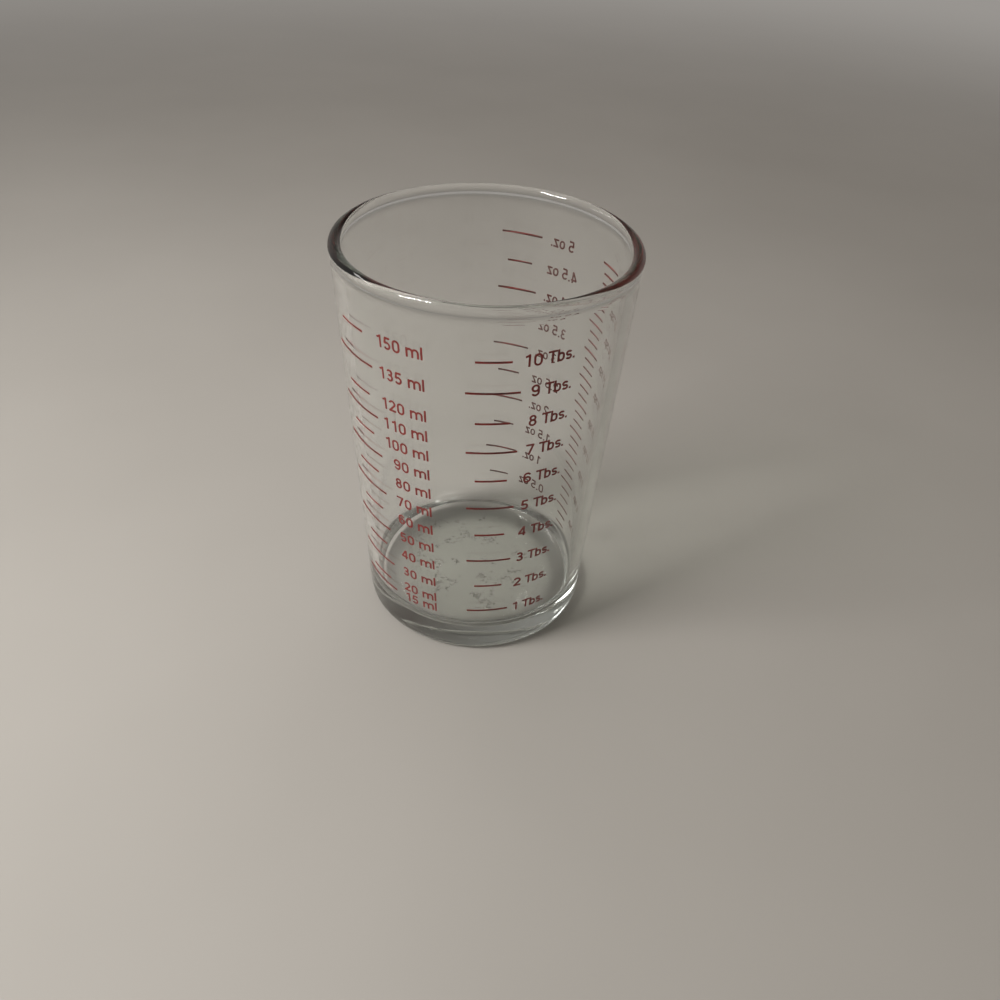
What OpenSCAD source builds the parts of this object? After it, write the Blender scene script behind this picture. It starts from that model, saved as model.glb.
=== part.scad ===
// Small measuring glass: a tapered tumbler of clear glass with four fired enamel scales
// round its outside. The heights of all the lines come from the volume of the cavity.

/* [Glass] */
// Height of the glass, from the table to the top of the rim
height = 88; // [80:0.5:100]
// Diameter over the rim
rim_d = 60; // [57:0.5:66]
// Diameter that the taper would have at the table
base_d = 51.6; // [46:0.1:55]
// Thickness of the wall, measured level
wall = 2.2; // [1.6:0.1:3]
// Height of the floor of the cavity above the table
floor_h = 5.2; // [4:0.1:9]
// Radius between the floor and the wall of the cavity
corner_r = 5; // [2:0.5:7]
// Rise of the floor of the cavity at its middle
floor_crown = 0.5; // [0:0.1:1]
// Distance that the fire-polished rim stands out of the wall on each side
lip_stand = 0.15; // [0:0.05:0.4]
// Radius of the outer bottom edge
heel_r = 2.2; // [1:0.1:3]
// Width of the ring that the glass stands on
ring_w = 2.4; // [1.5:0.1:4]
// Depth of the hollow under the glass
hollow_h = 1.1; // [0.4:0.1:2]

/* [Enamel] */
// Thickness of the fired enamel
enamel_t = 0.08; // [0.05:0.01:0.2]
// Height of a graduation line
line_h = 0.42; // [0.3:0.02:0.6]
// Height of the numerals and capitals
cap_h = 2.5; // [1.8:0.1:2.7]
// Height of the teaspoon numerals, whose lines lie closer
small_cap_h = 2.1; // [1.6:0.1:2.4]
// Width of a stroke, as a share of the height of the numerals
stroke = 0.155; // [0.1:0.005:0.18]
// Turn of the print round the glass for each millimetre of height, in degrees
print_lean = 0.047; // [0:0.001:0.08]
// Rise of the numerals for each millimetre round the glass, away from their lines
print_rise = 0.024; // [0:0.002:0.04]
// Least distance of a print from the top of the glass
print_margin = 5; // [4:0.5:8]

/* [Tablespoon scale] */
// Highest tablespoon
tablespoons = 10; // [4:1:10]
// Place of the middle of the tablespoon lines round the glass, at the table
tbs_line_az = 7.3; // [4:0.1:9]
// Length of an odd tablespoon line
tbs_long = 9.4; // [8:0.1:11]
// Length of an even tablespoon line
tbs_short = 6.1; // [4:0.1:8]
// Place of the right edge of the tablespoon numerals, at the table
tbs_text_az = 37.2; // [36:0.1:42]

/* [Millilitre scale] */
// Place of the right edge of the long millilitre lines, at the table
ml_line_az = -40.3; // [-42:0.1:-38]
// Length of the long millilitre lines
ml_long = 12.4; // [10:0.2:14]
// Length of the short millilitre lines
ml_short = 7; // [4:0.2:8]
// Distance that the right edge of a short line stands back
ml_step = 1.8; // [0.5:0.1:2.5]
// Place of the right edge of the millilitre numerals, at the table
ml_text_az = -16.4; // [-17:0.1:-15]
// Distance that the whole scale sits low, as it is printed
ml_drop = 1.35; // [0:0.05:1.5]
// Least height from the middle of one volume's numerals to the next
ml_clear = 3.2; // [2.9:0.1:4]

/* [Ounce scale] */
// Fluid ounces on the scale
ounces = 5; // [2:1:5]
// Place of the middle of the ounce lines round the glass, at the table
oz_line_az = 168; // [165:0.5:173]
// Length of a whole ounce line
oz_long = 9; // [7:0.5:11]
// Length of a half ounce line
oz_short = 5.6; // [4:0.2:7]
// Place of the right edge of the ounce numerals, at the table
oz_text_az = 155; // [153:0.5:156]

/* [Teaspoon scale] */
// Highest teaspoon
teaspoons = 30; // [6:3:30]
// Place of the middle of the teaspoon lines round the glass, at the table
tsp_line_az = 116.3; // [115:0.1:119]
// Length of every third teaspoon line
tsp_long = 6.8; // [5:0.2:8]
// Length of the other teaspoon lines
tsp_short = 4.8; // [3:0.2:6]
// Place of the right edge of the teaspoon numerals, at the table
tsp_text_az = 105.3; // [102:0.1:105.5]

/* [Hidden] */

glass_colour = [0.80, 0.86, 0.83, 0.45];
enamel_colour = [0.50, 0.14, 0.12];

// Millilitres in a tablespoon and in a teaspoon
ml_per_tbs = 14.787;
ml_per_tsp = ml_per_tbs / 3;
// Volumes that the millilitre scale shows; the first, and every second one after it, has a long line
ml_marks = [15, 20, 30, 40, 50, 60, 70, 80, 90, 100, 110, 120, 135, 150];

// Lathe profile of the glass. The wall is a straight taper outside and inside.
lip_r = wall / 2 + lip_stand;
lip_cx = rim_d / 2 - lip_r;
lip_cz = height - lip_r;
slope = (lip_cx + wall / 2 - base_d / 2) / lip_cz;
taper = atan(slope);
curve_steps = 10;

function outer_r(z) = base_d / 2 + slope * z;
function inner_r(z) = outer_r(z) - wall;
function arc(cx, cz, r, from, to) =
    [for (i = [0:curve_steps]) let (a = from + (to - from) * i / curve_steps)
        [cx + r * cos(a), cz + r * sin(a)]];

// The heel and the corner are tangent to the wall, and the rim's circle cuts its two faces
ring_out = outer_r(heel_r) - heel_r / cos(taper);
ring_in = ring_out - ring_w;
corner_cx = inner_r(floor_h + corner_r) - corner_r / cos(taper);
lip_open = acos(wall / 2 * cos(taper) / lip_r);

// Height of the cavity's floor at a distance from the axis
function floor_z(r) = floor_h + floor_crown * (1 - pow(r / corner_cx, 2));
// Height of the hollow under the glass at a distance from the axis
function hollow_z(r) = hollow_h * (1 - pow(r / ring_in, 2));

profile = concat(
    [for (i = [0:curve_steps]) let (r = ring_in * i / curve_steps) [r, hollow_z(r)]],
    arc(ring_out, heel_r, heel_r, -90, -taper),
    arc(lip_cx, lip_cz, lip_r, -taper - lip_open, 180 - taper + lip_open),
    arc(corner_cx, floor_h + corner_r, corner_r, 360 - taper, 270),
    [for (i = [1:curve_steps]) let (r = corner_cx * (1 - i / curve_steps)) [r, floor_z(r)]]);

// The volume up to a height is a frustum less the rounding of its corner and the crown.
// Solved for the height, it gives each line its place.
floor_in = inner_r(floor_h);
corner_loss = 2 * PI * (floor_in - 0.2234 * corner_r) * (1 - PI / 4) * pow(corner_r, 2);
crown_loss = PI / 2 * pow(corner_cx, 2) * floor_crown;
function level(ml) =
    let (cubed = pow(floor_in, 3) + 3 * slope / PI * (ml * 1000 + corner_loss + crown_loss))
    floor_h + (pow(cubed, 1 / 3) - floor_in) / slope;
function fits(ml) = level(ml) + cap_h / 2 < height - print_margin;

// Angle that a distance along the surface takes at a height, and the lean of the print there
function turn(distance, z) = distance / outer_r(z) * 180 / PI;
function az_at(azimuth, z) = azimuth - print_lean * z;

module glass_tumbler() {
    color(glass_colour) rotate_extrude($fn = 160) polygon(profile);
}

// One line of a scale: a thin band of enamel that lies on the taper. Lengths are those half way
// up, as the lines narrow with the glass.
module mark(ml, mid_az, length, drop = 0) {
    z = level(ml) - drop;
    low = z - line_h / 2;
    high = z + line_h / 2;
    sweep = turn(length, height / 2);
    color(enamel_colour)
        rotate([0, 0, az_at(mid_az, z) - 90 - sweep / 2])
            rotate_extrude(angle = sweep, $fn = 160)
                polygon([[outer_r(low), low], [outer_r(low) + enamel_t, low],
                         [outer_r(high) + enamel_t, high], [outer_r(high), high]]);
}

// Strokes of each character for a height of 1: four numbers are a bar between two points,
// five are an arc with its centre, radius and two angles
bar_in = stroke / 2;
digit_w = 0.64;
digit_mid = digit_w / 2;
digit_r = digit_mid - bar_in;
digit_in = digit_w - bar_in;
top_in = 1 - bar_in;
bowl_low = 0.3;
bowl_high = 0.2;
small_h = 0.74;
small_top = small_h - bar_in;
small_w = 0.57;
small_mid = small_w / 2;
small_r = small_mid - bar_in;
small_in = small_w - bar_in;
s_r = (small_h - stroke) / 4;
s_left = bar_in + s_r;
s_right = 0.52 - s_left;
m_x = 0.1 + bar_in;
m_r = (1.05 - stroke) / 4;
tail = 0.27;
round_side = [[small_mid, small_h - small_mid, small_r, 0, 180], [small_mid, small_mid, small_r, 180, 360],
              [small_in, small_mid, small_in, small_h - small_mid]];
function strokes(c) =
    c == "0" ? [[digit_mid, 1 - digit_mid, digit_r, 0, 180], [digit_mid, digit_mid, digit_r, 180, 360],
                [bar_in, digit_mid, bar_in, 1 - digit_mid], [digit_in, digit_mid, digit_in, 1 - digit_mid]] :
    c == "1" ? [[0.46, 0, 0.46, 1], [0.17, 0.78, 0.46, 0.9]] :
    c == "2" ? [[digit_mid, 1 - digit_mid, digit_r, -38, 165], [0.511, 0.55, 0.085, bar_in],
                [0, bar_in, digit_w, bar_in]] :
    c == "3" ? [[digit_mid, 1 - bar_in - bowl_high, bowl_high, -90, 155],
                [digit_mid, bowl_low, bowl_low - bar_in, -155, 90],
                [0.22, 2 * bowl_low - bar_in, digit_mid, 2 * bowl_low - bar_in]] :
    c == "4" ? [[0.47, 0, 0.47, 1], [0, 0.26, digit_w, 0.26], [0.44, 0.95, 0.05, 0.28]] :
    c == "5" ? [[0.12, top_in, 0.58, top_in], [0.16, top_in, 0.1, 0.47],
                [digit_mid - 0.02, 0.32, 0.32 - bar_in, -150, 138]] :
    c == "6" ? [[digit_mid, digit_mid, digit_r, 0, 360], [bar_in, digit_mid, bar_in, 1 - digit_mid],
                [digit_mid, 1 - digit_mid, digit_r, 25, 180]] :
    c == "7" ? [[0, top_in, digit_w, top_in], [0.57, top_in, 0.22, 0]] :
    c == "8" ? [[digit_mid, 0.73, 0.27 - bar_in, 0, 360], [digit_mid, 0.305, 0.305 - bar_in, 0, 360]] :
    c == "9" ? [[digit_mid, 1 - digit_mid, digit_r, 0, 360], [digit_in, digit_mid, digit_in, 1 - digit_mid],
                [digit_mid, digit_mid, digit_r, 205, 360]] :
    c == "T" ? [[0, top_in, 0.7, top_in], [0.35, 0, 0.35, 1]] :
    c == "b" ? concat([[bar_in, 0, bar_in, 1]], round_side) :
    c == "l" ? [[bar_in, 0, bar_in, 1]] :
    c == "m" ? [[m_x, 0, m_x, small_h], [m_x + m_r, small_top - m_r, m_r, 0, 180],
                [m_x + 2 * m_r, 0, m_x + 2 * m_r, small_top - m_r],
                [m_x + 3 * m_r, small_top - m_r, m_r, 0, 180],
                [m_x + 4 * m_r, 0, m_x + 4 * m_r, small_top - m_r]] :
    c == "o" ? concat([[bar_in, small_mid, bar_in, small_h - small_mid]], round_side) :
    c == "p" ? concat([[bar_in, -tail, bar_in, small_h]], round_side) :
    c == "s" ? [[s_right, small_top - s_r, s_r, 25, 90], [s_left, small_top, s_right, small_top],
                [s_left, small_top - s_r, s_r, 90, 270],
                [s_left, bar_in + 2 * s_r, s_right, bar_in + 2 * s_r],
                [s_right, bar_in + s_r, s_r, -90, 90], [s_left, bar_in, s_right, bar_in],
                [s_left, bar_in + s_r, s_r, -155, -90]] :
    c == "t" ? [[0.16, bar_in, 0.16, 0.93], [0, small_top, 0.36, small_top], [0.12, bar_in, 0.34, bar_in]] :
    c == "z" ? [[0, small_top, 0.52, small_top], [0, bar_in, 0.52, bar_in], [0.44, small_top, 0.08, bar_in]] :
    c == "." ? [[0, bar_in, stroke, bar_in]] : [];

// Distance from one character to the next, for a height of 1
function advance(c) =
    c == " " ? 0.26 : c == "." ? 0.3 : c == "l" ? 0.3 : c == "m" ? 1.26 : c == "T" ? 0.73 : c == "b" ? 0.66 :
    c == "o" || c == "p" ? 0.67 : c == "s" ? 0.61 : c == "z" ? 0.62 : c == "t" ? 0.44 : 0.78;
function span(word, i = 0) = i >= len(word) ? 0 : advance(word[i]) + span(word, i + 1);

module bar_stroke(x1, y1, x2, y2) {
    translate([x1, y1]) rotate(atan2(y2 - y1, x2 - x1))
        translate([0, -bar_in]) square([norm([x2 - x1, y2 - y1]), stroke]);
}

module arc_stroke(cx, cy, r, from, to) {
    reach = 2 * r;
    steps = ceil((to - from) / 60);
    translate([cx, cy]) intersection() {
        difference() {
            circle(r + bar_in, $fn = 32);
            circle(r - bar_in, $fn = 32);
        }
        if (to - from < 360)
            polygon(concat([[0, 0]], [for (i = [0:steps]) let (a = from + (to - from) * i / steps)
                reach * [cos(a), sin(a)]]));
        else
            square(2 * reach, center = true);
    }
}

module character(c) {
    for (s = strokes(c))
        if (len(s) == 4) bar_stroke(s[0], s[1], s[2], s[3]);
        else arc_stroke(s[0], s[1], s[2], s[3], s[4]);
}

// A word whose last character ends at an azimuth, and which would meet the height of its line if
// it went on to the middle of it. Each character is a flat plate of enamel that touches the taper.
module word(ml, right_az, letters, cap, line_az, drop = 0) {
    line_z = level(ml) - drop;
    total = span(letters) * cap;
    color(enamel_colour)
        for (i = [0:len(letters) - 1]) if (letters[i] != " ") {
            half = advance(letters[i]) / 2;
            from_right = total - (span(letters) - span(letters, i) + half) * cap;
            az = right_az - turn(from_right, line_z);
            z = line_z + print_rise * (az - line_az) * PI / 180 * outer_r(line_z);
            rotate([0, 0, az_at(az, line_z) - 90])
                translate([outer_r(z), 0, z]) rotate([0, taper, 0]) rotate([90, 0, 90])
                    linear_extrude(enamel_t) rotate(atan(print_rise)) scale(cap) translate([-half, -0.5])
                        character(letters[i]);
        }
}

module tablespoon_lines() {
    for (n = [1:tablespoons]) if (fits(n * ml_per_tbs))
        mark(n * ml_per_tbs, tbs_line_az, n % 2 == 1 ? tbs_long : tbs_short);
}

module tablespoon_numerals() {
    for (n = [1:tablespoons]) if (fits(n * ml_per_tbs))
        word(n * ml_per_tbs, tbs_text_az, str(n, " Tbs."), cap_h, tbs_line_az);
}

// Middle of a millilitre line, from the shared right edge of the long ones
function ml_middle(back, length) = ml_line_az - turn(back + length / 2, height / 2);

module millilitre_lines() {
    for (i = [0:len(ml_marks) - 1]) if (fits(ml_marks[i])) {
        back = i % 2 == 0 ? 0 : ml_step;
        length = i % 2 == 0 ? ml_long : ml_short;
        mark(ml_marks[i], ml_middle(back, length), length, ml_drop);
    }
}

// Numerals that would touch the ones below them are printed a little higher
module millilitre_numerals() {
    for (i = [0:len(ml_marks) - 1]) if (fits(ml_marks[i])) {
        short = i == 0 ? 0 : max(0, level(ml_marks[i - 1]) + ml_clear - level(ml_marks[i]));
        word(ml_marks[i], ml_text_az, str(ml_marks[i], " ml"), cap_h, ml_middle(0, ml_long), ml_drop - short);
    }
}

module ounce_lines() {
    for (n = [1:2 * ounces]) if (fits(n * ml_per_tbs))
        mark(n * ml_per_tbs, oz_line_az, n % 2 == 0 ? oz_long : oz_short);
}

module ounce_numerals() {
    for (n = [1:2 * ounces]) if (fits(n * ml_per_tbs))
        word(n * ml_per_tbs, oz_text_az, str(n / 2, n % 2 == 0 ? " oz." : " oz"), cap_h, oz_line_az);
}

module teaspoon_lines() {
    for (n = [1:teaspoons]) if (fits(n * ml_per_tsp))
        mark(n * ml_per_tsp, tsp_line_az, n % 3 == 0 ? tsp_long : tsp_short);
}

module teaspoon_numerals() {
    for (n = [3:3:teaspoons]) if (fits(n * ml_per_tsp))
        word(n * ml_per_tsp, tsp_text_az, str(n, " tsp."), small_cap_h, tsp_line_az);
}

glass_tumbler();
tablespoon_lines();
tablespoon_numerals();
millilitre_lines();
millilitre_numerals();
ounce_lines();
ounce_numerals();
teaspoon_lines();
teaspoon_numerals();
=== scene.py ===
import math

import bmesh
import bpy
import numpy as np
from mathutils import Matrix, Vector, noise
from mathutils.geometry import tessellate_polygon


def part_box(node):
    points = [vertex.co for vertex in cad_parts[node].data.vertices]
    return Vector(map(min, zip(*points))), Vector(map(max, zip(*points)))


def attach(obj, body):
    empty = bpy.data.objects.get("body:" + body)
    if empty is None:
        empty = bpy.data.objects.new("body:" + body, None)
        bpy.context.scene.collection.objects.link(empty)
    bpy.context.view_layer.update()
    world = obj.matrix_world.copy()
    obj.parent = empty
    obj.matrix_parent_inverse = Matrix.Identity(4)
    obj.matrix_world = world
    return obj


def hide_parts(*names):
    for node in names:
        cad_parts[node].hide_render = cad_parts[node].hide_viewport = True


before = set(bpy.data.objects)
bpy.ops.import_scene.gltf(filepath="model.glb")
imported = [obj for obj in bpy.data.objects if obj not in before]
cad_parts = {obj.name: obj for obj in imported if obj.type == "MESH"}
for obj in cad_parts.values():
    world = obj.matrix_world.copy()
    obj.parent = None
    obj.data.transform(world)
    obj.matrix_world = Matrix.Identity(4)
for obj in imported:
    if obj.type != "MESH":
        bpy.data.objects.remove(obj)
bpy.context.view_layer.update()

MM = 0.001
M3_PER_ML = 1e-6
TINY = 1e-9
glass_low, glass_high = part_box("glass_tumbler")

# Glass, in metres: the overall sizes come from the part's box in model.glb, the rest are the part's own
# values
HEIGHT = glass_high.z
RIM_R = glass_high.x
BASE_R = 25.8 * MM
WALL = 2.2 * MM
FLOOR_H = 5.2 * MM
CORNER_R = 5.0 * MM
FLOOR_CROWN = 0.5 * MM
LIP_STAND = 0.15 * MM
HEEL_R = 2.2 * MM
RING_W = 2.4 * MM
HOLLOW_H = 1.1 * MM
FILLET_CENTROID = 0.2234    # distance from the sides to a fillet's centroid, as a share of its radius

# Steps along the parts of the glass profile, and corners round its axis
ROUND_STEPS = 224
BASE_STEPS = 24
RING_STEPS = 3
HEEL_STEPS = 14
LIP_STEPS = 36
CORNER_STEPS = 18
OUTSIDE_STEPS = 60
INSIDE_STEPS = 50

# Slight waves of the inner face: where it begins, as shares of the wall and the floor, how deep and long the
# waves are, and where they fade out below the rim and at the axis
INSIDE_WALL = 0.6
INSIDE_FLOOR = 0.9
WAVE_DEPTH = 0.03 * MM
WAVES_ROUND = 1.6
WAVE_LENGTH = 22 * MM
WAVE_BELOW_RIM = 9 * MM
WAVE_FADE = 16 * MM
WAVE_CENTRE = 10 * MM

# Enamel
ENAMEL_PROUD = 0.06 * MM
ENAMEL_SUNK = 0.02 * MM
LINE_H = 0.42 * MM
CAP_H = 2.5 * MM
SMALL_CAP_H = 2.1 * MM
STROKE = 0.155
PRINT_LEAN = 0.047 / MM
PRINT_RISE = 0.024
PRINT_MARGIN = 5 * MM
LINE_STEPS = 20

# The uneven edges of the print: their depth and size, and how the noise goes on from print to print
PRINT_ROUGH = 0.012 * MM
PRINT_ROUGH_SIZE = 0.5 * MM
PRINT_SEED = 1
SEED_STEP = 7.3
WORD_SEEDS = 11

# Scales: azimuths are degrees from the front towards +X, at the level of the table
TABLESPOONS = 10
TBS_LINE_AZ, TBS_LONG, TBS_SHORT, TBS_TEXT_AZ = 7.3, 9.4 * MM, 6.1 * MM, 37.2
ML_LINE_AZ, ML_LONG, ML_SHORT, ML_STEP, ML_TEXT_AZ = -40.3, 12.4 * MM, 7 * MM, 1.8 * MM, -16.4
ML_DROP, ML_CLEAR = 1.35 * MM, 3.2 * MM
ML_MARKS = (15, 20, 30, 40, 50, 60, 70, 80, 90, 100, 110, 120, 135, 150)
OUNCES = 5
OZ_LINE_AZ, OZ_LONG, OZ_SHORT, OZ_TEXT_AZ = 168, 9 * MM, 5.6 * MM, 155
TEASPOONS = 30
TSP_LINE_AZ, TSP_LONG, TSP_SHORT, TSP_TEXT_AZ = 116.3, 6.8 * MM, 4.8 * MM, 105.3
ML_PER_TBS = 14.787
ML_PER_TSP = ML_PER_TBS / 3

# Camera, from the photograph's perspective: place, turn, tilt and roll, and focal length
CAMERA_BACK = 0.15655
CAMERA_UP = 0.15157
CAMERA_YAW = 0.034
CAMERA_PITCH = 0.6841
CAMERA_ROLL = 0.0612
SENSOR = 36.0
LENS = 30.76
CLIP_START = 0.005


# Glass profile

lip_r = WALL / 2 + LIP_STAND
lip_cx = RIM_R - lip_r
lip_cz = HEIGHT - lip_r
slope = (lip_cx + WALL / 2 - BASE_R) / lip_cz
taper = math.atan(slope)


def outer_r(z):
    return BASE_R + slope * z


def inner_r(z):
    return outer_r(z) - WALL


ring_out = outer_r(HEEL_R) - HEEL_R / math.cos(taper)
ring_in = ring_out - RING_W
corner_cx = inner_r(FLOOR_H + CORNER_R) - CORNER_R / math.cos(taper)
lip_open = math.acos(WALL / 2 * math.cos(taper) / lip_r)


def arc(cx, cz, r, start, end, count):
    """Points along an arc; the angles are in radians."""
    angles = np.linspace(start, end, count)
    return [(cx + r * math.cos(a), cz + r * math.sin(a)) for a in angles]


def line(a, b, count):
    """Points between two ends, without the ends."""
    return [(a[0] + (b[0] - a[0]) * i / count, a[1] + (b[1] - a[1]) * i / count) for i in range(1, count)]


def glass_profile():
    """The closed lathe section from the axis under the glass to the axis on the cavity's floor."""
    n = BASE_STEPS
    under = [(ring_in * i / n, HOLLOW_H * (1 - (i / n) ** 2)) for i in range(n + 1)]
    heel = arc(ring_out, HEEL_R, HEEL_R, -math.pi / 2, -taper, HEEL_STEPS)
    lip = arc(lip_cx, lip_cz, lip_r, -taper - lip_open, math.pi - taper + lip_open, LIP_STEPS)
    corner = arc(corner_cx, FLOOR_H + CORNER_R, CORNER_R, 2 * math.pi - taper, 1.5 * math.pi, CORNER_STEPS)
    floor = [(corner_cx * (1 - i / n), FLOOR_H + FLOOR_CROWN * (1 - (1 - i / n) ** 2))
             for i in range(1, n + 1)]
    return (under + line(under[-1], heel[0], RING_STEPS) + heel
            + line(heel[-1], lip[0], OUTSIDE_STEPS) + lip
            + line(lip[-1], corner[0], INSIDE_STEPS) + corner + floor)


def wave(r, z, angle):
    """How far a point of the inner face stands out from the plain lathe form."""
    below_rim = min(1.0, max(0.0, (HEIGHT - WAVE_BELOW_RIM - z) / WAVE_FADE))
    return WAVE_DEPTH * below_rim * min(1.0, r / WAVE_CENTRE) * noise.noise(
        Vector((math.cos(angle) * WAVES_ROUND, math.sin(angle) * WAVES_ROUND, z / WAVE_LENGTH)))


def make_glass():
    """The tumbler as one smooth lathe mesh, whose inner faces have the slight waves of pressed glass."""
    bm = bmesh.new()
    rings = []
    for r, z in glass_profile():
        if r < TINY:
            rings.append([bm.verts.new((0, 0, z))])
            continue
        inside = r < outer_r(z) - WALL * INSIDE_WALL and z > FLOOR_H * INSIDE_FLOOR
        ring = []
        for i in range(ROUND_STEPS):
            a = 2 * math.pi * i / ROUND_STEPS
            swell = wave(r, z, a) if inside else 0.0
            ring.append(bm.verts.new(((r + swell) * math.cos(a), (r + swell) * math.sin(a), z)))
        rings.append(ring)
    for low, high in zip(rings, rings[1:]):
        for i in range(ROUND_STEPS):
            j = (i + 1) % ROUND_STEPS
            if len(low) == 1:
                bm.faces.new((low[0], high[j], high[i]))
            elif len(high) == 1:
                bm.faces.new((low[i], low[j], high[0]))
            else:
                bm.faces.new((low[i], low[j], high[j], high[i]))
    bmesh.ops.recalc_face_normals(bm, faces=bm.faces)
    return new_piece("clear_glass_tumbler", bm)


def new_piece(name, bm, smooth=True):
    """An object of this name with the mesh of bm, which it uses up."""
    mesh = bpy.data.meshes.new(name)
    bm.to_mesh(mesh)
    bm.free()
    for p in mesh.polygons:
        p.use_smooth = smooth
    piece = bpy.data.objects.new(name, mesh)
    bpy.context.collection.objects.link(piece)
    return piece


# Heights of the lines, from the volume of the cavity

floor_in = inner_r(FLOOR_H)
corner_loss = 2 * math.pi * (floor_in - FILLET_CENTROID * CORNER_R) * (1 - math.pi / 4) * CORNER_R ** 2
crown_loss = math.pi / 2 * corner_cx ** 2 * FLOOR_CROWN


def level(ml):
    """The height to which so many millilitres fill the cavity."""
    cubed = floor_in ** 3 + 3 * slope / math.pi * (ml * M3_PER_ML + corner_loss + crown_loss)
    return FLOOR_H + (cubed ** (1 / 3) - floor_in) / slope


def az_at(azimuth, z):
    """The azimuth at height z of what stands at this azimuth at the table: the prints lean a little."""
    return azimuth - PRINT_LEAN * z


# Characters as strokes for a height of 1: a bar is x, y, x, y, and an arc is its centre's x and y, its
# radius, and its start and end in degrees

BAR = STROKE / 2
DIGIT_W = 0.64
DIGIT_MID = DIGIT_W / 2
DIGIT_R = DIGIT_MID - BAR
DIGIT_IN = DIGIT_W - BAR
TOP_IN = 1 - BAR
BOWL_LOW = 0.3
BOWL_HIGH = 0.2
SMALL_H = 0.74
SMALL_TOP = SMALL_H - BAR
SMALL_W = 0.57
SMALL_MID = SMALL_W / 2
SMALL_R = SMALL_MID - BAR
SMALL_IN = SMALL_W - BAR
S_R = (SMALL_H - STROKE) / 4
S_LEFT = BAR + S_R
S_RIGHT = 0.52 - S_LEFT
M_X = 0.1 + BAR
M_R = (1.05 - STROKE) / 4
TAIL = 0.27
ROUND_SIDE = [(SMALL_MID, SMALL_H - SMALL_MID, SMALL_R, 0, 180),
              (SMALL_MID, SMALL_MID, SMALL_R, 180, 360),
              (SMALL_IN, SMALL_MID, SMALL_IN, SMALL_H - SMALL_MID)]
STROKES = {
    "0": [(DIGIT_MID, 1 - DIGIT_MID, DIGIT_R, 0, 180), (DIGIT_MID, DIGIT_MID, DIGIT_R, 180, 360),
          (BAR, DIGIT_MID, BAR, 1 - DIGIT_MID), (DIGIT_IN, DIGIT_MID, DIGIT_IN, 1 - DIGIT_MID)],
    "1": [(0.46, 0, 0.46, 1), (0.17, 0.78, 0.46, 0.9)],
    "2": [(DIGIT_MID, 1 - DIGIT_MID, DIGIT_R, -38, 165), (0.511, 0.55, 0.085, BAR),
          (0, BAR, DIGIT_W, BAR)],
    "3": [(DIGIT_MID, 1 - BAR - BOWL_HIGH, BOWL_HIGH, -90, 155),
          (DIGIT_MID, BOWL_LOW, BOWL_LOW - BAR, -155, 90),
          (0.22, 2 * BOWL_LOW - BAR, DIGIT_MID, 2 * BOWL_LOW - BAR)],
    "4": [(0.47, 0, 0.47, 1), (0, 0.26, DIGIT_W, 0.26), (0.44, 0.95, 0.05, 0.28)],
    "5": [(0.12, TOP_IN, 0.58, TOP_IN), (0.16, TOP_IN, 0.1, 0.47),
          (DIGIT_MID - 0.02, 0.32, 0.32 - BAR, -150, 138)],
    "6": [(DIGIT_MID, DIGIT_MID, DIGIT_R, 0, 360), (BAR, DIGIT_MID, BAR, 1 - DIGIT_MID),
          (DIGIT_MID, 1 - DIGIT_MID, DIGIT_R, 25, 180)],
    "7": [(0, TOP_IN, DIGIT_W, TOP_IN), (0.57, TOP_IN, 0.22, 0)],
    "8": [(DIGIT_MID, 0.73, 0.27 - BAR, 0, 360), (DIGIT_MID, 0.305, 0.305 - BAR, 0, 360)],
    "9": [(DIGIT_MID, 1 - DIGIT_MID, DIGIT_R, 0, 360), (DIGIT_IN, DIGIT_MID, DIGIT_IN, 1 - DIGIT_MID),
          (DIGIT_MID, DIGIT_MID, DIGIT_R, 205, 360)],
    "T": [(0, TOP_IN, 0.7, TOP_IN), (0.35, 0, 0.35, 1)],
    "b": [(BAR, 0, BAR, 1)] + ROUND_SIDE,
    "l": [(BAR, 0, BAR, 1)],
    "m": [(M_X, 0, M_X, SMALL_H), (M_X + M_R, SMALL_TOP - M_R, M_R, 0, 180),
          (M_X + 2 * M_R, 0, M_X + 2 * M_R, SMALL_TOP - M_R), (M_X + 3 * M_R, SMALL_TOP - M_R, M_R, 0, 180),
          (M_X + 4 * M_R, 0, M_X + 4 * M_R, SMALL_TOP - M_R)],
    "o": [(BAR, SMALL_MID, BAR, SMALL_H - SMALL_MID)] + ROUND_SIDE,
    "p": [(BAR, -TAIL, BAR, SMALL_H)] + ROUND_SIDE,
    "s": [(S_RIGHT, SMALL_TOP - S_R, S_R, 25, 90), (S_LEFT, SMALL_TOP, S_RIGHT, SMALL_TOP),
          (S_LEFT, SMALL_TOP - S_R, S_R, 90, 270), (S_LEFT, BAR + 2 * S_R, S_RIGHT, BAR + 2 * S_R),
          (S_RIGHT, BAR + S_R, S_R, -90, 90), (S_LEFT, BAR, S_RIGHT, BAR),
          (S_LEFT, BAR + S_R, S_R, -155, -90)],
    "t": [(0.16, BAR, 0.16, 0.93), (0, SMALL_TOP, 0.36, SMALL_TOP), (0.12, BAR, 0.34, BAR)],
    "z": [(0, SMALL_TOP, 0.52, SMALL_TOP), (0, BAR, 0.52, BAR), (0.44, SMALL_TOP, 0.08, BAR)],
    ".": [(0, BAR, STROKE, BAR)],
}
ADVANCE = {" ": 0.26, ".": 0.3, "l": 0.3, "m": 1.26, "T": 0.73, "b": 0.66, "o": 0.67, "p": 0.67,
           "s": 0.61, "z": 0.62, "t": 0.44}
DIGIT_ADVANCE = 0.78

# The grid on which the outlines are found, just off round numbers so that none runs through its points
GRID_STEP = 0.025
GRID_X = (-0.15, 1.35, 0.0037)
GRID_Y = (-0.45, 1.15, 0.0041)
INK_FILL = 0.03
OUTLINE_TOLERANCE = 0.003


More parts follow.
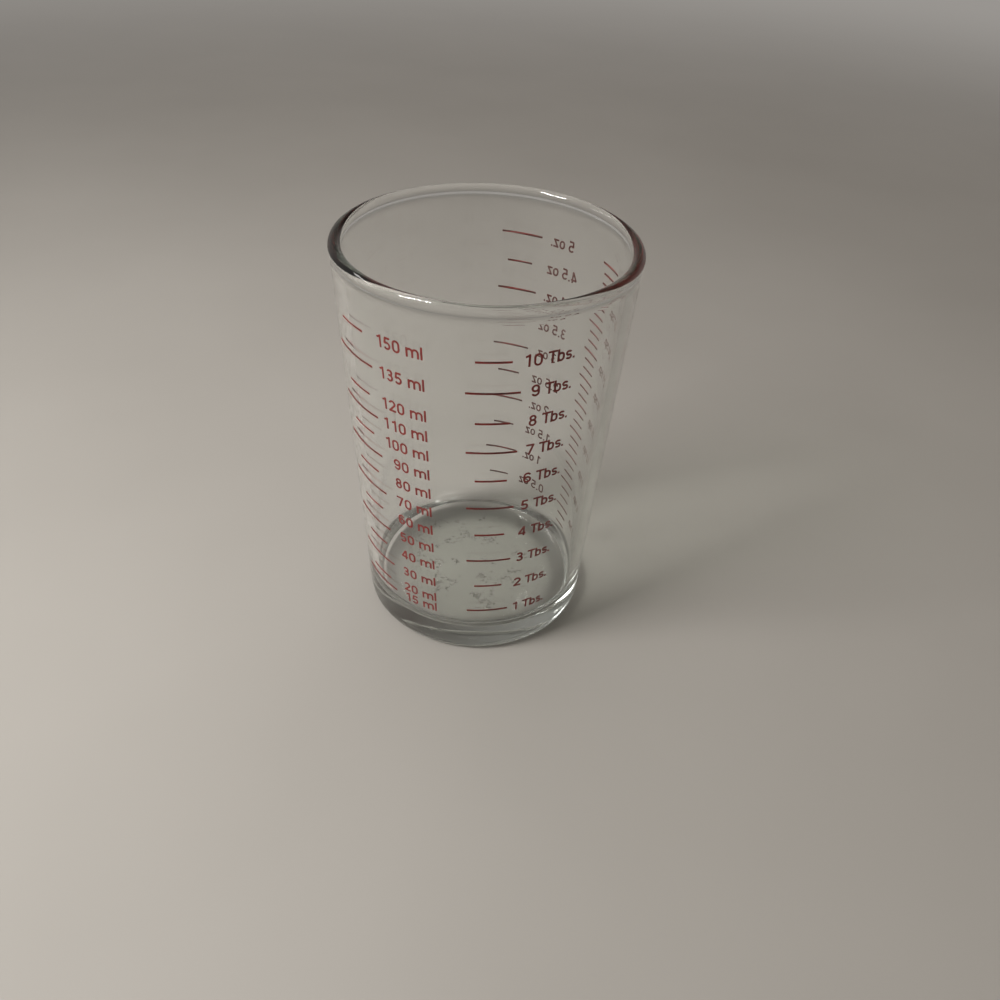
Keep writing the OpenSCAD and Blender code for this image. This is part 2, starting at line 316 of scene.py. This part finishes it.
def advance(c):
    """A character's width with its gap, for a height of 1."""
    return ADVANCE.get(c, DIGIT_ADVANCE)


def bar_distance(x, y, x1, y1, x2, y2):
    """Signed distance to a bar with square ends."""
    length = math.hypot(x2 - x1, y2 - y1)
    ux, uy = (x2 - x1) / length, (y2 - y1) / length
    along = np.abs((x - x1) * ux + (y - y1) * uy - length / 2) - length / 2
    across = np.abs((y - y1) * ux - (x - x1) * uy) - BAR
    outside = np.hypot(np.maximum(along, 0), np.maximum(across, 0))
    return outside + np.minimum(np.maximum(along, across), 0)


def arc_distance(x, y, cx, cy, r, start, end):
    """Signed distance to an arc with square ends."""
    rho = np.hypot(x - cx, y - cy)
    band = np.abs(rho - r) - BAR
    if end - start >= 360:
        return band
    half = math.radians(end - start) / 2
    middle = math.radians(start + end) / 2
    angle = np.arctan2(y - cy, x - cx) - middle
    angle = np.abs((angle + math.pi) % (2 * math.pi) - math.pi)
    past = np.where(np.abs(angle - half) < math.pi / 2, rho * np.sin(angle - half),
                    np.where(angle > half, rho, -rho))
    outside = np.hypot(np.maximum(past, 0), np.maximum(band, 0))
    return outside + np.minimum(np.maximum(past, band), 0)


def outline_loops(distance, xs, ys):
    """Closed loops where a grid of signed distances crosses zero, inside on the left."""
    links = {}

    def crossing(i, j, di, dj):
        a, b = distance[j, i], distance[j + dj, i + di]
        f = a / (a - b)
        return xs[i] + (xs[i + di] - xs[i]) * f, ys[j] + (ys[j + dj] - ys[j]) * f

    points = {}
    for j in range(len(ys) - 1):
        for i in range(len(xs) - 1):
            corners = (distance[j, i] < 0, distance[j, i + 1] < 0,
                       distance[j + 1, i + 1] < 0, distance[j + 1, i] < 0)
            if all(corners) or not any(corners):
                continue
            edges = ((i, j, 1, 0), (i + 1, j, 0, 1), (i, j + 1, 1, 0), (i, j, 0, 1))
            starts = [edges[k] for k in range(4) if corners[k] and not corners[(k + 1) % 4]]
            ends = [edges[k] for k in range(4) if not corners[k] and corners[(k + 1) % 4]]
            if len(starts) == 2 and edges.index(ends[0]) < edges.index(starts[0]):
                ends.reverse()
            for s, e in zip(starts, ends):
                links[s] = e
                points[s] = crossing(*s)
                points[e] = crossing(*e)
    loops = []
    while links:
        first = key = next(iter(links))
        loop = []
        while key in links:
            loop.append(points[key])
            key = links.pop(key)
        if len(loop) > 3 and key == first:
            loops.append(loop)
    return loops


def simplify(loop, tolerance):
    """The loop without the points that a straight line passes closely."""
    def keep(part):
        if len(part) < 3:
            return part[:-1]
        (ax, ay), (bx, by) = part[0], part[-1]
        length = math.hypot(bx - ax, by - ay) or TINY
        away = [abs((x - ax) * (by - ay) - (y - ay) * (bx - ax)) / length for x, y in part[1:-1]]
        most = max(range(len(away)), key=away.__getitem__)
        if away[most] < tolerance:
            return part[:1]
        return keep(part[:most + 2]) + keep(part[most + 1:])

    half = len(loop) // 2
    return keep(loop[:half + 1]) + keep(loop[half:] + loop[:1])


def character_loops():
    """The outline of every character, with its inner corners filled a little as ink fills them."""
    xs, ys = (np.arange(low, high, GRID_STEP) + shift for low, high, shift in (GRID_X, GRID_Y))
    x, y = np.meshgrid(xs, ys)
    made = {}
    for c, strokes in STROKES.items():
        distance = None
        for s in strokes:
            d = bar_distance(x, y, *s) if len(s) == 4 else arc_distance(x, y, *s)
            if distance is None:
                distance = d
                continue
            blend = np.clip(0.5 + 0.5 * (d - distance) / INK_FILL, 0, 1)
            distance = d + (distance - d) * blend - INK_FILL * blend * (1 - blend)
        made[c] = [simplify(loop, OUTLINE_TOLERANCE) for loop in outline_loops(distance, xs, ys)]
    return made


def on_glass(azimuth, z_mid, u, v, stand):
    """A point of the print: u along the surface, v up the taper and stand off the surface."""
    z = z_mid + v * math.cos(taper)
    r = outer_r(z) + stand * math.cos(taper)
    a = math.radians(azimuth - 90) + u / outer_r(z_mid)
    return r * math.cos(a), r * math.sin(a), z - stand * math.sin(taper)


def add_print(bm, loops, azimuth, z_mid, seed):
    """One closed patch of enamel with the outline loops, whose edge is a little uneven."""
    rings = []
    for loop in loops:
        ring = []
        for u, v in loop:
            spot = Vector((u / PRINT_ROUGH_SIZE, v / PRINT_ROUGH_SIZE, seed * SEED_STEP))
            shift = noise.noise_vector(spot) * PRINT_ROUGH
            ring.append((u + shift.x, v + shift.y))
        rings.append(ring)
    top = [[bm.verts.new(on_glass(azimuth, z_mid, u, v, ENAMEL_PROUD)) for u, v in ring] for ring in rings]
    low = [[bm.verts.new(on_glass(azimuth, z_mid, u, v, -ENAMEL_SUNK)) for u, v in ring] for ring in rings]
    flat_top = [v for ring in top for v in ring]
    flat_low = [v for ring in low for v in ring]
    for a, b, c in tessellate_polygon([[Vector((u, v, 0)) for u, v in ring] for ring in rings]):
        bm.faces.new((flat_top[a], flat_top[b], flat_top[c]))
        bm.faces.new((flat_low[a], flat_low[c], flat_low[b]))
    for upper, lower in zip(top, low):
        for i in range(len(upper)):
            j = (i + 1) % len(upper)
            bm.faces.new((lower[i], lower[j], upper[j], upper[i]))


def finish_print(name, bm):
    """One node's print as a piece."""
    bmesh.ops.recalc_face_normals(bm, faces=bm.faces)
    return new_piece(name, bm, smooth=False)


def make_lines(name, marks, drop=0.0):
    """One scale's lines; each mark is a volume, the azimuth of its middle and its length half way up."""
    bm = bmesh.new()
    for number, (ml, azimuth, length) in enumerate(marks):
        z = level(ml) - drop
        half = length / 2 * outer_r(z) / outer_r(HEIGHT / 2)
        across = [half * (i / LINE_STEPS * 2 - 1) for i in range(LINE_STEPS + 1)]
        low = [(u, PRINT_RISE * u - LINE_H / 2) for u in across]
        high = [(u, PRINT_RISE * u + LINE_H / 2) for u in reversed(across)]
        add_print(bm, [low + high], az_at(azimuth, z), z, number + len(name))
    return finish_print(name, bm)


def make_numerals(name, words, loops, cap, line_azimuth, drop=0.0, clear=0.0):
    """One scale's words; each has a volume, the azimuth of its right edge and its characters."""
    bm = bmesh.new()
    for number, (ml, azimuth, letters) in enumerate(words):
        z = level(ml) - drop
        if number:
            z = max(z, level(words[number - 1][0]) - drop + clear)
        x = -sum(advance(c) for c in letters)
        for place, c in enumerate(letters):
            if c != " ":
                turned = azimuth + math.degrees((x + advance(c) / 2) * cap / outer_r(z))
                up = PRINT_RISE * math.radians(turned - line_azimuth) * outer_r(z)
                shape = [[((u - advance(c) / 2) * cap, (v - 0.5) * cap) for u, v in loop]
                         for loop in loops[c]]
                shape = [[(u - PRINT_RISE * v, v + PRINT_RISE * u) for u, v in loop] for loop in shape]
                add_print(bm, shape, az_at(turned, z), z + up, number * WORD_SEEDS + place + len(name))
            x += advance(c)
    return finish_print(name, bm)


def fits(ml):
    """Whether a mark for so many millilitres stays clear of the rim."""
    return level(ml) + CAP_H / 2 < HEIGHT - PRINT_MARGIN


def make_scales():
    """The eight prints, by the node that each stands for."""
    noise.seed_set(PRINT_SEED)    # noise_vector follows the clock otherwise
    loops = character_loops()
    tbs = [n for n in range(1, TABLESPOONS + 1) if fits(n * ML_PER_TBS)]
    oz = [n for n in range(1, 2 * OUNCES + 1) if fits(n * ML_PER_TBS)]
    tsp = [n for n in range(1, TEASPOONS + 1) if fits(n * ML_PER_TSP)]
    ml = [(i, v) for i, v in enumerate(ML_MARKS) if fits(v)]

    def ml_mark(i, v):
        back, length = (0, ML_LONG) if i % 2 == 0 else (ML_STEP, ML_SHORT)
        return v, ML_LINE_AZ - math.degrees((back + length / 2) / outer_r(HEIGHT / 2)), length

    ml_middle = ml_mark(0, 0)[1]
    return {
        "tablespoon_lines": make_lines("tablespoon_lines_enamel", [
            (n * ML_PER_TBS, TBS_LINE_AZ, TBS_LONG if n % 2 else TBS_SHORT) for n in tbs]),
        "tablespoon_numerals": make_numerals("tablespoon_numerals_enamel", [
            (n * ML_PER_TBS, TBS_TEXT_AZ, f"{n} Tbs.") for n in tbs], loops, CAP_H, TBS_LINE_AZ),
        "millilitre_lines": make_lines("millilitre_lines_enamel", [ml_mark(i, v) for i, v in ml], ML_DROP),
        "millilitre_numerals": make_numerals("millilitre_numerals_enamel", [
            (v, ML_TEXT_AZ, f"{v} ml") for i, v in ml], loops, CAP_H, ml_middle, ML_DROP, ML_CLEAR),
        "ounce_lines": make_lines("ounce_lines_enamel", [
            (n * ML_PER_TBS, OZ_LINE_AZ, OZ_SHORT if n % 2 else OZ_LONG) for n in oz]),
        "ounce_numerals": make_numerals("ounce_numerals_enamel", [
            (n * ML_PER_TBS, OZ_TEXT_AZ, f"{n / 2:g} oz" + ("" if n % 2 else ".")) for n in oz],
            loops, CAP_H, OZ_LINE_AZ),
        "teaspoon_lines": make_lines("teaspoon_lines_enamel", [
            (n * ML_PER_TSP, TSP_LINE_AZ, TSP_SHORT if n % 3 else TSP_LONG) for n in tsp]),
        "teaspoon_numerals": make_numerals("teaspoon_numerals_enamel", [
            (n * ML_PER_TSP, TSP_TEXT_AZ, f"{n} tsp.") for n in tsp if n % 3 == 0],
            loops, SMALL_CAP_H, TSP_LINE_AZ),
    }


# Materials; a ramp is the two values of a noise, length or direction between which a look changes

def srgb(*screen):
    """A colour written as it looks on screen, 0 to 255, as the linear colour that shaders take."""
    linear = [c / 255 / 12.92 if c <= 10 else ((c / 255 + 0.055) / 1.055) ** 2.4 for c in screen]
    return (*linear, 1)


class Graph:
    """A material's or world's nodes, made by short calls."""

    def __init__(self, owner):
        owner.use_nodes = True
        self.tree = owner.node_tree
        self.tree.nodes.clear()

    def node(self, kind, **inputs):
        """A node with these settings and sockets; _ stands for a space in a socket's name."""
        n = self.tree.nodes.new(kind)
        for key, value in inputs.items():
            if hasattr(n, key):
                setattr(n, key, value)
            else:
                self.put(value, n.inputs[key.replace("_", " ")])
        return n

    def put(self, value, socket):
        if isinstance(value, bpy.types.NodeSocket):
            self.tree.links.new(value, socket)
        else:
            socket.default_value = value

    def place(self):
        """The shaded point, in the object's own axes."""
        return self.node("ShaderNodeTexCoord").outputs["Object"]

    def split(self, vector):
        n = self.node("ShaderNodeSeparateXYZ")
        self.put(vector, n.inputs["Vector"])
        return n.outputs

    def noise(self, scale, detail, roughness, vector=None):
        n = self.node("ShaderNodeTexNoise", Scale=scale, Detail=detail, Roughness=roughness)
        self.put(self.place() if vector is None else vector, n.inputs["Vector"])
        return n.outputs["Fac"]

    def remap(self, value, low, high, to_low, to_high, kind="LINEAR"):
        n = self.node("ShaderNodeMapRange", interpolation_type=kind)
        names = ("Value", "From Min", "From Max", "To Min", "To Max")
        for name, v in zip(names, (value, low, high, to_low, to_high)):
            self.put(v, n.inputs[name])
        return n.outputs["Result"]

    def rise(self, value, ramp, most=1.0):
        """0 below the ramp's two values, up to most above them."""
        return self.remap(value, *ramp, 0.0, most)

    def fall(self, value, ramp):
        """1 below the ramp's two values, down to 0 above them."""
        return self.remap(value, *ramp, 1.0, 0.0)

    def mix(self, factor, a, b):
        n = self.node("ShaderNodeMix", data_type="RGBA")
        self.put(factor, n.inputs["Factor"])
        self.put(a, n.inputs[6])
        self.put(b, n.inputs[7])
        return n.outputs[2]

    def math(self, operation, a, b=0.0):
        n = self.node("ShaderNodeMath", operation=operation)
        self.put(a, n.inputs[0])
        self.put(b, n.inputs[1])
        return n.outputs[0]

    def times(self, *factors):
        """The product of two or more values."""
        product = factors[0]
        for factor in factors[1:]:
            product = self.math("MULTIPLY", product, factor)
        return product

    def vector_math(self, operation, *vectors):
        n = self.node("ShaderNodeVectorMath", operation=operation)
        for vector, socket in zip(vectors, n.inputs):
            self.put(vector, socket)
        return n.outputs["Value" if operation in ("LENGTH", "DOT_PRODUCT") else "Vector"]

    def bump(self, height, strength, distance):
        n = self.node("ShaderNodeBump", Strength=strength, Distance=distance)
        self.put(height, n.inputs["Height"])
        return n.outputs["Normal"]

    def mix_shader(self, factor, a, b):
        n = self.node("ShaderNodeMixShader")
        for value, socket in zip((factor, a, b), n.inputs):
            self.put(value, socket)
        return n.outputs["Shader"]

    def output(self, surface, volume=None, kind="ShaderNodeOutputMaterial"):
        n = self.node(kind)
        self.put(surface, n.inputs["Surface"])
        if volume is not None:
            self.put(volume, n.inputs["Volume"])


GLASS_IOR = 1.52
GLASS_FACE = (0.985, 0.99, 0.985, 1)
GLASS_DEPTH_TINT = (0.6, 0.7, 0.62, 1)
GLASS_DEPTH_DENSITY = 9.0

# Handling marks, the ripple of the whole glass, and the fine rings of its pressed base
SMEAR_RAMP = (0.5, 0.8)
SMEAR_ROUGHNESS = 0.05
RELIEF = 0.00003
RIPPLE = 0.1
HEEL_RINGS = 1.4
HEEL_RINGS_STRETCH = (0.2, 0.2, 2.2)
HEEL_RINGS_HEIGHT_RAMP = (3.2 * MM, 4.8 * MM)

# Residue on the cavity's floor: patches of specks
RESIDUE_TONE = (0.17, 0.155, 0.14, 1)
RESIDUE_ROUGHNESS = 0.3
RESIDUE_BOTTOM = FLOOR_H / 2
RESIDUE_TOP = FLOOR_H + 1.5 * MM
RESIDUE_RADIUS_RAMP = (16 * MM, 18 * MM)
PATCH_RAMP = (0.53, 0.63)
SPECK_RAMP = (0.51, 0.6)

# What the glass lets through for soft light and shadows: face on, at a slant, and under the heel
PASSED_FACE_ON = (0.97, 0.98, 0.97, 1)
PASSED_AT_SLANT = (0.31, 0.32, 0.31, 1)
PASSED_UNDER_HEEL = (0.1, 0.1, 0.1, 1)
SLANT_RAMP = (0.35, 0.95)
UNDER_HEEL_TOP = 2.4 * MM
UNDER_HEEL_RADIUS_RAMP = (17 * MM, 21 * MM)
UNDER_HEEL_SHARE = 0.6


def glass_material():
    """Clear soda-lime glass, faintly green in its depth, with handling marks and a little residue inside."""
    m = bpy.data.materials.new("clear_soda_lime_glass")
    g = Graph(m)
    x, y, z = g.split(g.place())
    from_axis = g.math("SQRT", g.math("ADD", g.times(x, x), g.times(y, y)))

    on_floor = g.times(g.math("GREATER_THAN", z, RESIDUE_BOTTOM), g.math("LESS_THAN", z, RESIDUE_TOP))
    on_floor = g.times(g.fall(from_axis, RESIDUE_RADIUS_RAMP), on_floor)
    patches = g.rise(g.noise(scale=190, detail=2, roughness=0.5), PATCH_RAMP)
    specks = g.rise(g.noise(scale=1200, detail=3, roughness=0.6), SPECK_RAMP)
    residue = g.times(on_floor, patches, specks)

    smears = g.rise(g.noise(scale=55, detail=4, roughness=0.6), SMEAR_RAMP, SMEAR_ROUGHNESS)
    ripple = g.noise(scale=70, detail=1, roughness=0.4)
    stretched = g.vector_math("MULTIPLY", g.place(), HEEL_RINGS_STRETCH)
    rings = g.noise(scale=420, detail=2, roughness=0.5, vector=stretched)
    rings = g.times(rings, g.fall(z, HEEL_RINGS_HEIGHT_RAMP))
    height = g.math("ADD", g.times(ripple, RIPPLE), g.times(rings, HEEL_RINGS))

    shader = g.node("ShaderNodeBsdfPrincipled", IOR=GLASS_IOR, Transmission_Weight=1.0)
    g.put(g.mix(residue, GLASS_FACE, RESIDUE_TONE), shader.inputs["Base Color"])
    g.put(g.math("ADD", smears, g.times(residue, RESIDUE_ROUGHNESS)), shader.inputs["Roughness"])
    g.put(g.bump(height, 1.0, RELIEF), shader.inputs["Normal"])
    depth = g.node("ShaderNodeVolumeAbsorption", Color=GLASS_DEPTH_TINT, Density=GLASS_DEPTH_DENSITY)

    # Light for the floor and the print goes straight through, less at a slant and under the heel
    slant = g.rise(g.node("ShaderNodeLayerWeight").outputs["Facing"], SLANT_RAMP)
    passed = g.mix(slant, PASSED_FACE_ON, PASSED_AT_SLANT)
    under_heel = g.times(g.math("LESS_THAN", z, UNDER_HEEL_TOP),
                         g.rise(from_axis, UNDER_HEEL_RADIUS_RAMP, UNDER_HEEL_SHARE))
    clear = g.node("ShaderNodeBsdfTransparent")
    g.put(g.mix(under_heel, passed, PASSED_UNDER_HEEL), clear.inputs["Color"])
    path = g.node("ShaderNodeLightPath").outputs
    soft = g.math("MAXIMUM", path["Is Shadow Ray"], path["Is Diffuse Ray"])
    g.output(g.mix_shader(soft, shader.outputs[0], clear.outputs[0]), depth.outputs[0])
    return m


ENAMEL_IOR = 1.5
ENAMEL_THICK = srgb(125, 36, 32)
ENAMEL_THIN = srgb(149, 57, 50)
ENAMEL_DEEP = srgb(107, 32, 29)
ENAMEL_INWARD_FACE = srgb(88, 48, 43)
ENAMEL_THIN_RAMP = (0.35, 0.75)
ENAMEL_DEEP_RAMP = (0.3, 0.7)
ENAMEL_DEEP_SHARE = 0.35
ENAMEL_ROUGHNESS = (0.34, 0.5)
ENAMEL_ROUGHNESS_RAMP = (0.3, 0.7)
ENAMEL_GRAIN = 0.25
ENAMEL_RELIEF = 0.00002


def enamel_material():
    """Brick-red fired enamel: satin, thinner and lighter in places, darker and browner on its inward face,
    which lies sunk in the glass.
    """
    m = bpy.data.materials.new("fired_red_enamel")
    g = Graph(m)
    thin = g.noise(scale=900, detail=3, roughness=0.6)
    wide = g.noise(scale=120, detail=2, roughness=0.5)
    grain = g.noise(scale=6000, detail=2, roughness=0.5)
    tone = g.mix(g.rise(thin, ENAMEL_THIN_RAMP), ENAMEL_THICK, ENAMEL_THIN)
    tone = g.mix(g.rise(wide, ENAMEL_DEEP_RAMP, ENAMEL_DEEP_SHARE), tone, ENAMEL_DEEP)
    outward = g.vector_math("DOT_PRODUCT", g.node("ShaderNodeNewGeometry").outputs["Normal"], g.place())
    # Darker and browner on the inward face of each print, the face sunk in the glass
    tone = g.mix(g.math("LESS_THAN", outward, 0.0), tone, ENAMEL_INWARD_FACE)
    shader = g.node("ShaderNodeBsdfPrincipled", IOR=ENAMEL_IOR)
    g.put(tone, shader.inputs["Base Color"])
    g.put(g.remap(thin, *ENAMEL_ROUGHNESS_RAMP, *ENAMEL_ROUGHNESS), shader.inputs["Roughness"])
    g.put(g.bump(grain, ENAMEL_GRAIN, ENAMEL_RELIEF), shader.inputs["Normal"])
    g.output(shader.outputs[0])
    return m


# Stage, light and camera

BACKDROP = srgb(208, 203, 197)
ROOM_LIGHT = 0.5
SOFT_ROOM_LIGHT = 0.7

# The room's tones, and the directions between which they change: x to the right, y to the back, z up
ROOM_DARK = srgb(98, 89, 83)
ROOM_BRIGHT = srgb(216, 213, 208)
ROOM_TOP = srgb(176, 174, 171)
ROOM_FRONT = srgb(70, 64, 60)
ROOM_FRONT_SHARE = 0.6
BRIGHT_X_RAMP = (-0.75, 0.35)
TOP_Z_RAMP = (0.86, 0.97)
FRONT_Y_RAMP = (-0.3, 0.2)
FRONT_Z_RAMP = (0.4, 0.6)
HORIZON_Z_RAMP = (0.12, 0.42)

FLOOR_HALF = 3.0
FLOOR_UNDER = 0.05 * MM
FLOOR_LIGHT = srgb(184, 179, 172)
FLOOR_DARK = srgb(178, 173, 166)
FLOOR_TONE_RAMP = (0.3, 0.7)
FLOOR_FADE_RAMP = (0.3, 1.1)

LAMP_TINT = (1.0, 0.98, 0.95)
WINDOW_TINT = (1.0, 0.99, 0.97)


def seen_sharply(g):
    """1 for what the camera, gloss and glass see, and 0 for soft light."""
    path = g.node("ShaderNodeLightPath").outputs
    return g.math("MAXIMUM", path["Is Camera Ray"], g.math(
        "MAXIMUM", path["Is Glossy Ray"], path["Is Transmission Ray"]))


def floor_material():
    """A plain pale worktop, which runs into the backdrop far from the object."""
    m = bpy.data.materials.new("pale_worktop")
    g = Graph(m)
    shader = g.node("ShaderNodeBsdfPrincipled", Roughness=0.55, Specular_IOR_Level=0.3)
    tone = g.rise(g.noise(scale=9, detail=3, roughness=0.5), FLOOR_TONE_RAMP)
    g.put(g.mix(tone, FLOOR_LIGHT, FLOOR_DARK), shader.inputs["Base Color"])
    away = g.remap(g.vector_math("LENGTH", g.place()), *FLOOR_FADE_RAMP, 0.0, 1.0, "SMOOTHSTEP")
    glow = g.node("ShaderNodeEmission", Color=BACKDROP, Strength=ROOM_LIGHT)
    g.output(g.mix_shader(g.times(away, seen_sharply(g)), shader.outputs[0], glow.outputs[0]))
    return m


def make_floor():
    """The worktop, a hair below the ring that the glass stands on."""
    bm = bmesh.new()
    bmesh.ops.create_grid(bm, x_segments=8, y_segments=8, size=FLOOR_HALF)
    floor = new_piece("floor", bm, smooth=False)
    floor.location.z = -FLOOR_UNDER
    floor.data.materials.append(floor_material())


def make_world():
    """A soft room, bright on the left; the camera, gloss and glass see it with a pale plain horizon."""
    world = bpy.data.worlds.new("soft_room")
    bpy.context.scene.world = world
    g = Graph(world)
    x, y, z = g.split(g.node("ShaderNodeTexCoord").outputs["Generated"])
    room = g.mix(g.fall(x, BRIGHT_X_RAMP), ROOM_DARK, ROOM_BRIGHT)
    room = g.mix(g.rise(z, TOP_Z_RAMP), room, ROOM_TOP)
    front = g.times(g.fall(y, FRONT_Y_RAMP), g.rise(z, FRONT_Z_RAMP), ROOM_FRONT_SHARE)
    room = g.mix(front, room, ROOM_FRONT)
    backdrop = g.mix(g.rise(z, HORIZON_Z_RAMP), BACKDROP, room)
    sharp = seen_sharply(g)
    light = g.node("ShaderNodeBackground")
    g.put(g.mix(sharp, room, backdrop), light.inputs["Color"])
    g.put(g.remap(sharp, 0.0, 1.0, SOFT_ROOM_LIGHT, ROOM_LIGHT), light.inputs["Strength"])
    g.output(light.outputs[0], kind="ShaderNodeOutputWorld")


def add_lamp(name, place, target, size, watts, colour, glint=False, spread=180):
    """A lamp for soft light alone, or for glints alone, so that glass doesn't mirror a big white panel."""
    lamp = bpy.data.lights.new(name, "AREA")
    lamp.shape = "RECTANGLE"
    lamp.spread = math.radians(spread)
    lamp.size, lamp.size_y = size
    lamp.energy = watts
    lamp.color = colour
    holder = bpy.data.objects.new(name, lamp)
    holder.location = place
    holder.rotation_euler = (Vector(target) - Vector(place)).to_track_quat("-Z", "Y").to_euler()
    holder.visible_glossy = holder.visible_transmission = glint
    holder.visible_diffuse = not glint
    bpy.context.collection.objects.link(holder)


def make_lamps():
    add_lamp("window_light", place=(-0.386, -0.18, 0.4), target=(-0.06, 0, 0), size=(0.2, 0.2),
             watts=1.25, colour=WINDOW_TINT, spread=120)
    add_lamp("ceiling_light", place=(-0.1, 0.45, 0.95), target=(0.0, 0.05, 0), size=(0.7, 0.7),
             watts=1.2, colour=LAMP_TINT)
    add_lamp("window_glint", place=(-0.5, -0.05, 0.95), target=(0, 0, 0.05), size=(0.06, 0.3),
             watts=8.0, colour=LAMP_TINT, glint=True)
    add_lamp("door_glint", place=(-0.6, 0.34, 0.66), target=(0, 0, 0.08), size=(0.45, 0.06),
             watts=0.6, colour=LAMP_TINT, glint=True)


def make_camera():
    """The photograph's camera."""
    forward = Vector((math.sin(CAMERA_YAW) * math.cos(CAMERA_PITCH),
                      math.cos(CAMERA_YAW) * math.cos(CAMERA_PITCH), -math.sin(CAMERA_PITCH)))
    right = forward.cross(Vector((0, 0, 1))).normalized()
    up = right.cross(forward)
    c, s = math.cos(CAMERA_ROLL), math.sin(CAMERA_ROLL)
    right, up = c * right + s * up, c * up - s * right
    data = bpy.data.cameras.new("camera")
    data.sensor_width = SENSOR
    data.lens = LENS
    data.clip_start = CLIP_START
    camera = bpy.data.objects.new("camera", data)
    turn = Matrix((right, up, -forward)).transposed().to_4x4()
    camera.matrix_world = Matrix.Translation((0, -CAMERA_BACK, CAMERA_UP)) @ turn
    bpy.context.collection.objects.link(camera)
    bpy.context.scene.camera = camera


# Scene

make_camera()
glass = make_glass()
glass.data.materials.append(glass_material())
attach(glass, "root")
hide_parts("glass_tumbler")

enamel = enamel_material()
for node, piece in make_scales().items():
    piece.data.materials.append(enamel)
    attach(piece, "root")
    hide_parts(node)

make_floor()
make_world()
make_lamps()
scene = bpy.context.scene
scene.view_settings.view_transform = "Standard"
scene.cycles.max_bounces = 40
scene.cycles.transmission_bounces = 32
scene.cycles.glossy_bounces = 24
scene.cycles.diffuse_bounces = 6
scene.cycles.blur_glossy = 0.0
scene.cycles.caustics_reflective = False
scene.cycles.caustics_refractive = False
